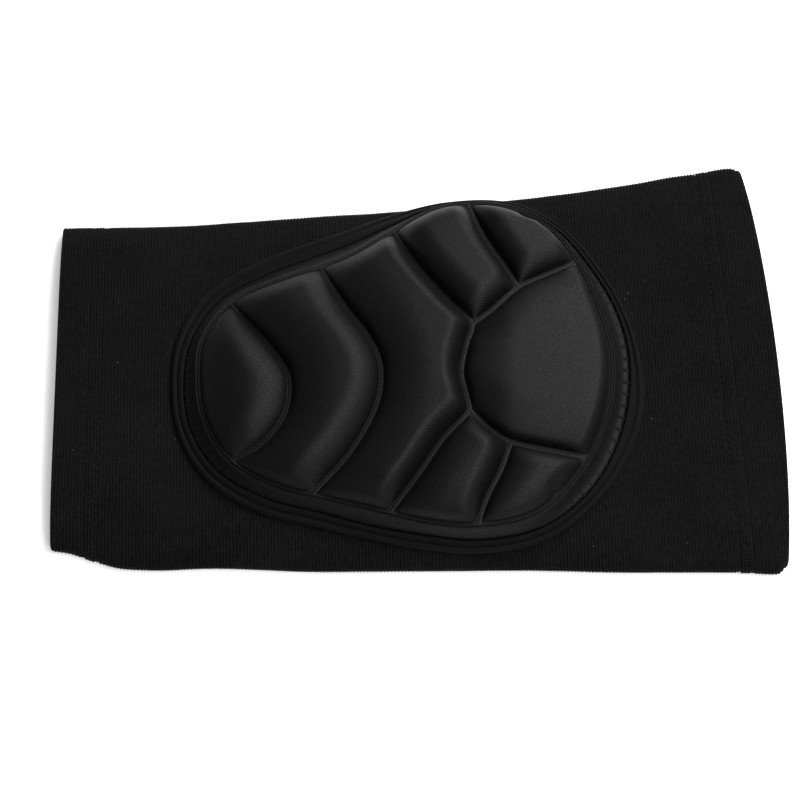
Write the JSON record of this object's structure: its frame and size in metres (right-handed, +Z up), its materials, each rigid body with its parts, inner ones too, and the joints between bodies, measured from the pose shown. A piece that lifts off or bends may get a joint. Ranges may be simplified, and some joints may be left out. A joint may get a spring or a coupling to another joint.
{
  "type": "knee brace",
  "caption": "Knitted elastic knee sleeve lying flat, with a moulded foam pad of raised cells sewn over the kneecap and a bound edge.",
  "frame": {"origin": "middle of the object's box, on the surface that it lies on", "axes": "+X runs along the sleeve to the wide thigh end, +Y across it to the far side fold, +Z up through the pad"},
  "size_m": [0.2656, 0.167, 0.0305],
  "materials": {
    "knit": "matte black ribbed elastic knit",
    "pad_cover": "smooth black stretch fabric bonded to moulded foam, soft sheen",
    "binding": "matte black knit band with a rolled edge"
  },
  "bodies": {
    "root": {"knit_sleeve": "knit", "moulded_pad": "pad_cover", "edge_binding": "binding"}
  },
  "joints": []
}
